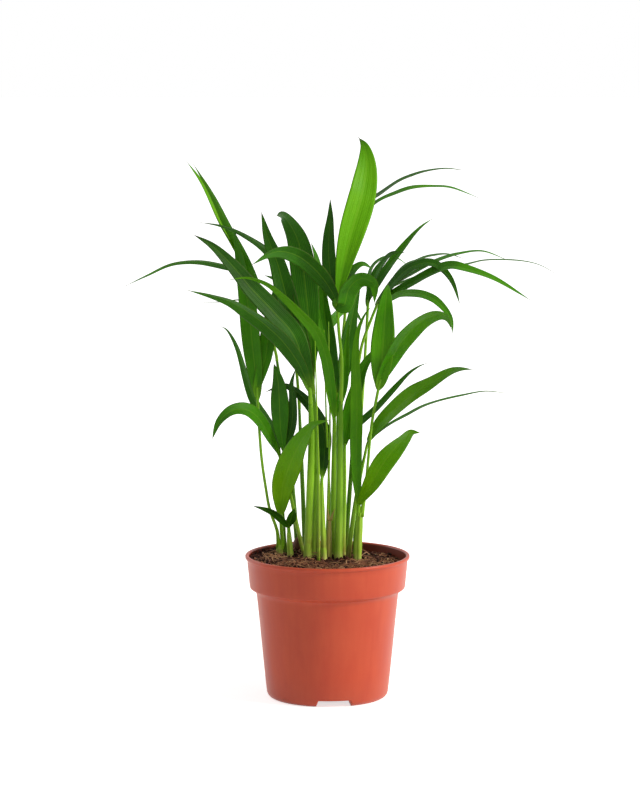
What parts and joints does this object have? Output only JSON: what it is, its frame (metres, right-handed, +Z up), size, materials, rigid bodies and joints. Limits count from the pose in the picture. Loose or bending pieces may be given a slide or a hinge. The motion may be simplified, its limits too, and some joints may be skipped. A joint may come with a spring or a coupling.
{
  "type": "potted palm",
  "caption": "Young areca palm with slender shoots and arching split leaves, growing from a mound of potting soil in a thin terracotta-coloured plastic nursery pot.",
  "frame": {"origin": "on the ground under the middle of the plant's spread; the pot's own axis stands 11.2 mm to -X and 9 mm to -Y of it", "axes": "+Z up along the shoots, the plant's front faces -Y, +X to the right seen from the front"},
  "size_m": [0.3193, 0.1984, 0.4078],
  "materials": {
    "terracotta_plastic": "satin moulded plastic, terracotta colour",
    "potting_soil": "loose dark peat and coir",
    "shoot": "smooth yellow-green leaf sheath",
    "dry_sheath": "dry papery sheath",
    "bright_leaf": "semi-gloss leaf, bright green",
    "mid_leaf": "semi-gloss leaf, mid green",
    "dark_leaf": "semi-gloss leaf, dark green"
  },
  "bodies": {
    "root": {"pot": "terracotta_plastic", "potting_soil": "potting_soil", "stem_01": "shoot", "stem_02": "shoot", "stem_03": "shoot", "stem_04": "shoot", "stem_05": "shoot", "stem_06": "shoot", "stem_07": "shoot", "stem_08": "shoot", "stem_09": "dry_sheath", "stem_10": "shoot", "stem_11": "shoot", "stem_12": "shoot", "stem_13": "shoot", "stem_14": "shoot", "stem_15": "shoot", "stem_16": "shoot", "stem_17": "shoot", "stem_18": "shoot", "stem_19": "shoot", "stem_20": "shoot", "leaf_01": "mid_leaf", "leaf_02": "bright_leaf", "leaf_03": "dark_leaf", "leaf_04": "mid_leaf", "leaf_05": "bright_leaf", "leaf_06": "mid_leaf", "leaf_07": "dark_leaf", "leaf_08": "dark_leaf", "leaf_09": "bright_leaf", "leaf_10": "dark_leaf", "leaf_11": "dark_leaf", "leaf_12": "mid_leaf", "leaf_13": "bright_leaf", "leaf_14": "bright_leaf", "leaf_15": "mid_leaf", "leaf_16": "mid_leaf", "leaf_17": "mid_leaf", "leaf_18": "mid_leaf", "leaf_19": "bright_leaf", "leaf_20": "mid_leaf", "leaf_21": "mid_leaf"}
  },
  "joints": []
}
